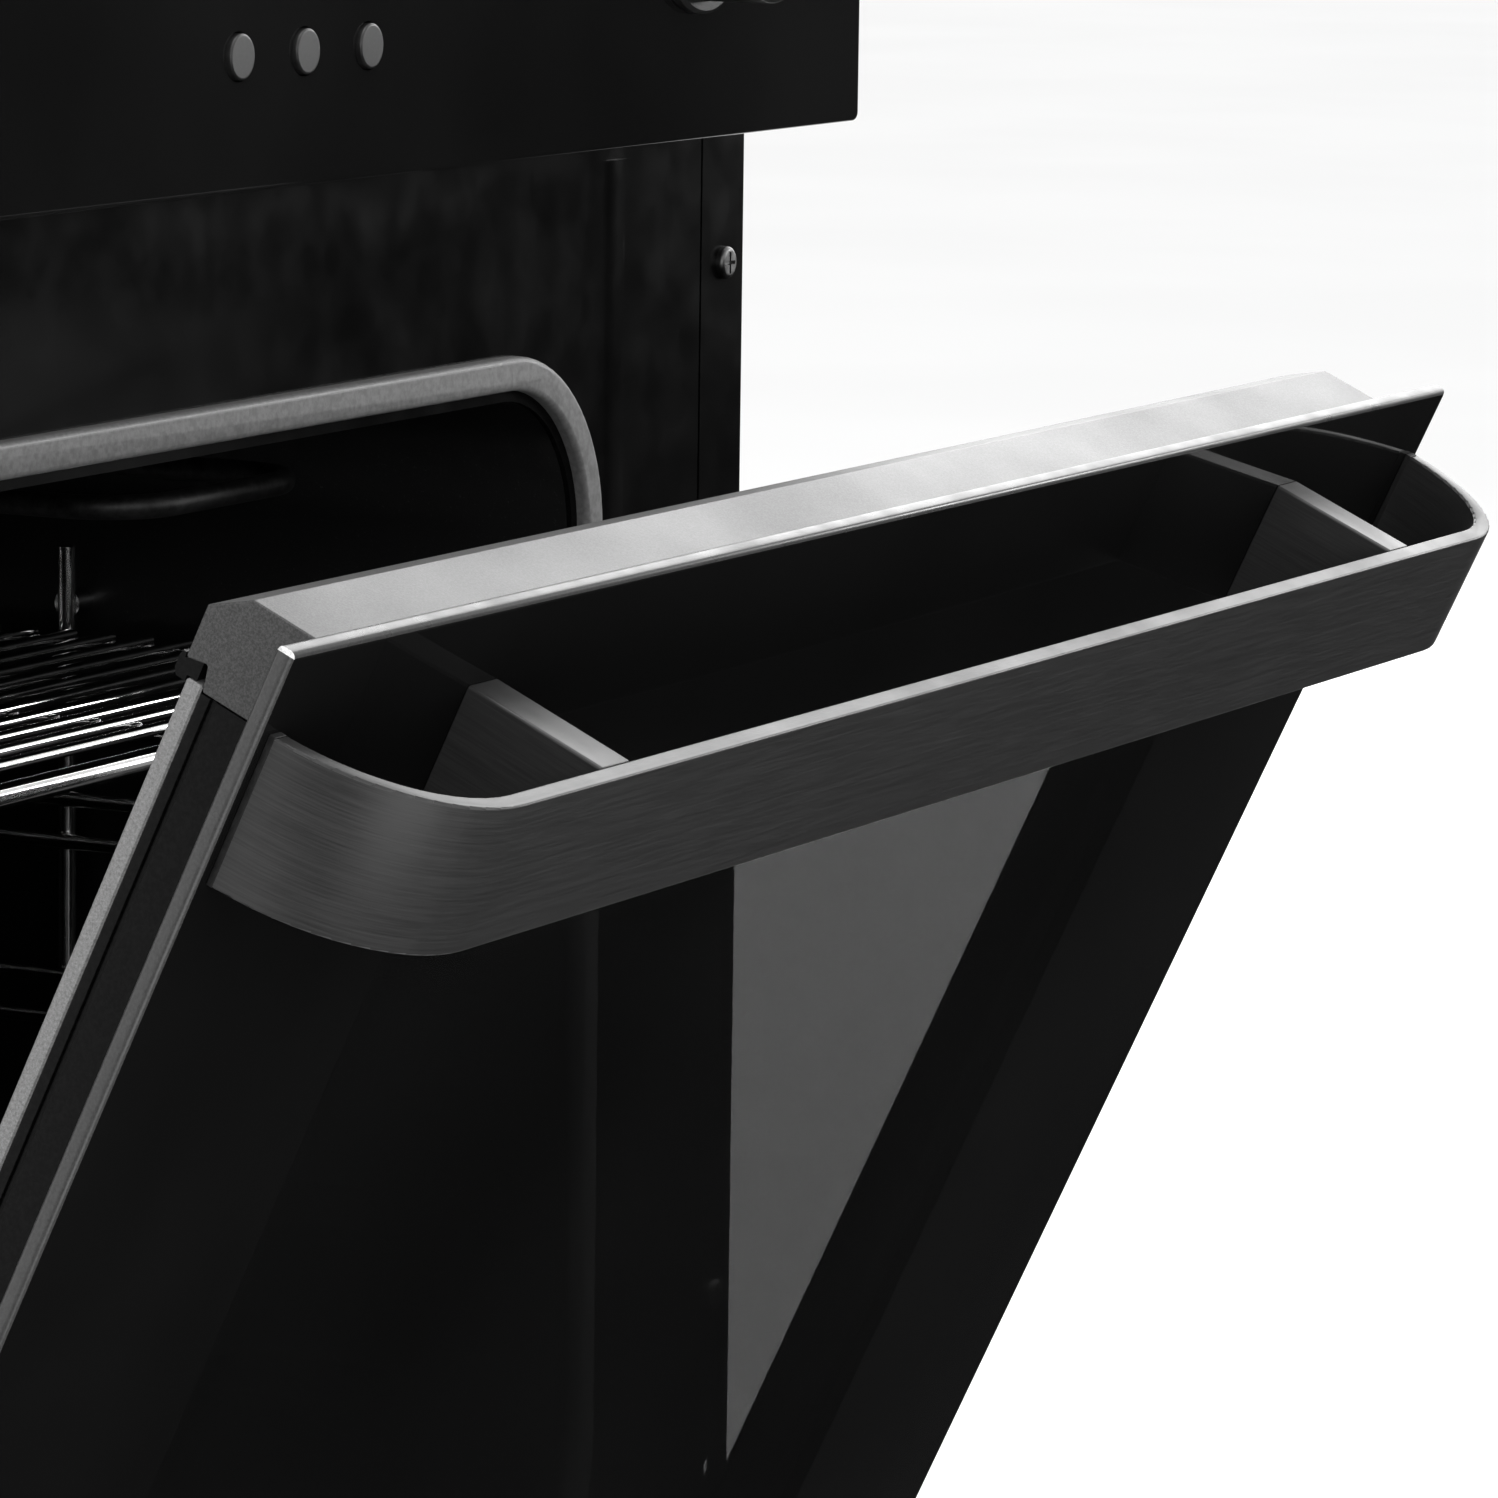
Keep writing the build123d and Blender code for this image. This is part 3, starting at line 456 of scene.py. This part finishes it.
def ontoDoor(bm):
    # from the door's own measures, x across, y behind its face, z up, to where it stands open
    turn = Matrix.Translation(pivot) @ Matrix.Rotation(doorTilt, 4, "X")
    bmesh.ops.transform(bm, matrix=turn, verts=bm.verts)


def innerPaneCopy(node, name):
    bm = mergedCopy(node)
    for face in bm.faces:
        face.material_index = 0 if abs(face.normal.dot(doorOut)) > 0.97 else 1
    softenEdges(bm)
    return newPiece(name, bm, bodyOf[node], [innerPane, innerEdge], [node])


outerGlass = dict(
    half=0.2975, face=0.034, back=0.030, low=-0.030, high=0.422,
    corner=0.0009, rim=0.0013, steps=4, cornerZone=0.0012,
)


def makeOuterGlass():
    size = outerGlass
    bm = bmesh.new()
    bmesh.ops.create_cube(bm, size=1.0)
    tall = size["high"] - size["low"]
    bmesh.ops.scale(bm, verts=bm.verts, vec=(2 * size["half"], size["face"] - size["back"], tall))
    middle = (0, -(size["face"] + size["back"]) / 2, (size["high"] + size["low"]) / 2)
    bmesh.ops.translate(bm, verts=bm.verts, vec=middle)
    through = [e for e in bm.edges if abs(e.verts[0].co.y - e.verts[1].co.y) > 0.001]
    bmesh.ops.bevel(
        bm, geom=through, offset=size["corner"], affect="EDGES", segments=1, profile=0.5, material=-1
    )
    around = [e for e in bm.edges if abs(e.verts[0].co.y - e.verts[1].co.y) < 0.0001]
    bmesh.ops.bevel(
        bm, geom=around, offset=size["rim"], affect="EDGES", segments=size["steps"], profile=0.5, material=-1
    )
    for face in bm.faces:
        middle = face.calc_center_median()
        flat = abs(face.normal.y) > 0.99
        zone = size["cornerZone"]
        atCorner = abs(middle.x) > size["half"] - zone and middle.z > size["high"] - zone
        face.material_index = 0 if flat else 2 if atCorner else 1
    ontoDoor(bm)
    softenEdges(bm)
    node = "door_outer_glass"
    return newPiece("outerGlass", bm, "door", [outerPane, outerEdge, cornerGrind], [node])


def dressNodes():
    for name, node in nodes.items():
        node.data.materials.clear()
        node.data.materials.append(materials[slotOf[name]])


fineCopies = {
    "handle_strip": ("handleStrip", None),
    "handle_bracket_left": ("handleBracketLeft", 0.0003),
    "handle_bracket_right": ("handleBracketRight", 0.0003),
    "handle_end_pads": ("handlePads", 0.0002),
    "door_top_cap": ("topCap", 0.0002),
    "glass_clips": ("glassClips", None),
    "door_column_left": ("columnLeft", 0.0003),
    "door_column_right": ("columnRight", 0.0003),
    "front_frame": ("frontFrame", 0.0003),
    "frame_screws": ("frameScrews", None),
    "cavity_gasket": ("doorSeal", None),
    "cavity_liner": ("cavityLiner", None),
    "wire_shelf": ("wireShelf", None),
    "shelf_ladders": ("shelfLadders", None),
    "function_knob": ("functionKnob", None),
    "temperature_knob": ("temperatureKnob", None),
    "control_fascia": ("controlFascia", None),
    "fan_cover": ("fanCover", 0.0003),
    "grill_element": ("grillElement", None),
    "ring_element": ("ringElement", None),
}

dressNodes()
makeOuterGlass()
innerPaneCopy("door_inner_glass", "innerGlass")
ownFinish = {"glass_clips": materials["black_profile"], "frame_screws": screwSteel}
for node, (name, width) in fineCopies.items():
    refined(node, name, width, ownFinish.get(node))
print("fine copies made")


floorSpec = dict(half=40, drop=0.0006, dark=0.93, light=0.95)


def addFloor():
    bm = bmesh.new()
    bmesh.ops.create_grid(bm, x_segments=1, y_segments=1, size=floorSpec["half"])
    bmesh.ops.translate(bm, verts=bm.verts, vec=(0, 0, -floorSpec["drop"]))
    mesh = bpy.data.meshes.new("floor")
    bm.to_mesh(mesh)
    bm.free()
    floor = bpy.data.objects.new("floor", mesh)
    bpy.context.scene.collection.objects.link(floor)
    mat, tree, shader = newMaterial("paleFloor", Roughness=0.9)
    cloud = noise(tree, coords(tree), 2, 2.0)
    shade = tint(tree, cloud, grey(floorSpec["dark"]), grey(floorSpec["light"]))
    link(tree, shade, shader.inputs["Base Color"])
    mesh.materials.append(mat)
    floor.visible_glossy = False  # the gloss sees the studio's own light


addFloor()
addCamera()
addWorld()
for box in lights["softboxes"]:
    addSoftbox(*box)
bpy.context.scene.view_settings.view_transform = "Standard"
print("camera, light and floor placed")
